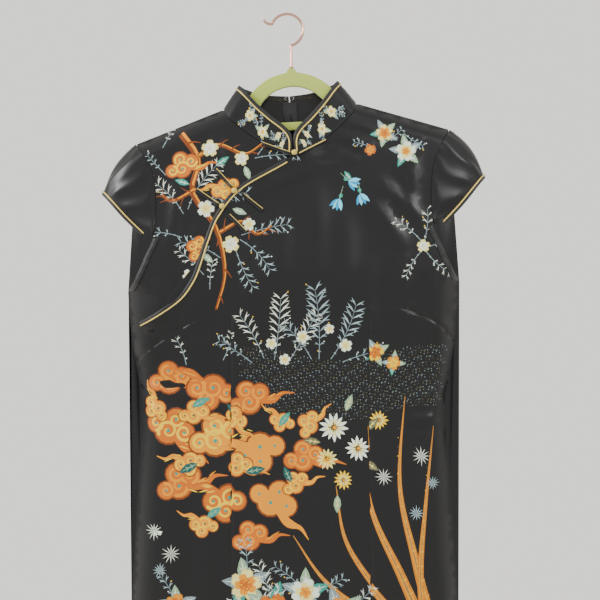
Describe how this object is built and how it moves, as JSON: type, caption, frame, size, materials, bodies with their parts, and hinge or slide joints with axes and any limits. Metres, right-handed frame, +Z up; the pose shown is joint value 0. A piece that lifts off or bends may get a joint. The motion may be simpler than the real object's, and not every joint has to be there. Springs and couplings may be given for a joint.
{
  "type": "cheongsam dress on a hanger",
  "caption": "Cap-sleeved cheongsam with stand collar, diagonal frog-fastened front and piped edges, hanging open-hollow on a flat hanger.",
  "frame": {"origin": "inside top of the hanger's hook, where the rail or wall hook it hangs on touches it", "axes": "+Z up along the hanging dress, -Y out of the dress's front, +X to the viewer's right (the wearer's left)"},
  "size_m": [0.5272, 0.0647, 1.266],
  "materials": {
    "print_satin": null,
    "plain_satin": "plain black satin, soft sheen",
    "black_binding": "black bias binding, satin",
    "gold_cord": "gold rayon cord piping",
    "zip_tape": "black woven zip tape with a nylon coil",
    "zip_metal": "black lacquered zip slider and pull",
    "hook_wire": "small bent wire hook and eye",
    "flock": "yellow-green flocked plastic",
    "rose_gold_wire": "polished rose-gold plated wire"
  },
  "bodies": {
    "root": {"armhole_binding_back_left": "black_binding", "armhole_binding_back_right": "black_binding", "armhole_binding_front_left": "black_binding", "armhole_binding_front_right": "black_binding", "back_left": "print_satin", "back_right": "print_satin", "back_zip": "zip_tape", "collar_left": "print_satin", "collar_left_binding": "black_binding", "collar_left_piping": "gold_cord", "collar_right": "print_satin", "collar_right_binding": "black_binding", "collar_right_piping": "gold_cord", "frog_1_knot": "gold_cord", "frog_1_left": "black_binding", "frog_1_right": "black_binding", "frog_2_knot": "gold_cord", "frog_2_left": "black_binding", "frog_2_right": "black_binding", "frog_3_knot": "gold_cord", "frog_3_left": "black_binding", "frog_3_right": "black_binding", "front": "print_satin", "hanger_body": "flock", "hanger_hook": "rose_gold_wire", "neck_eye": "hook_wire", "neck_hook": "hook_wire", "opening_binding": "black_binding", "opening_piping": "gold_cord", "sleeve_left": "plain_satin", "sleeve_left_binding": "black_binding", "sleeve_left_piping": "gold_cord", "sleeve_right": "plain_satin", "sleeve_right_binding": "black_binding", "sleeve_right_piping": "gold_cord", "under_front": "print_satin", "zip_slider": "zip_metal"},
    "pull": {"zip_pull": "zip_metal"}
  },
  "joints": [
    {"name": "pull_swing", "type": "hinge", "parent": "root", "child": "pull", "pos_m": [0.00416, 0.01845, -0.127], "axis": [1, 0, 0], "range_deg": [0, 150]}
  ]
}
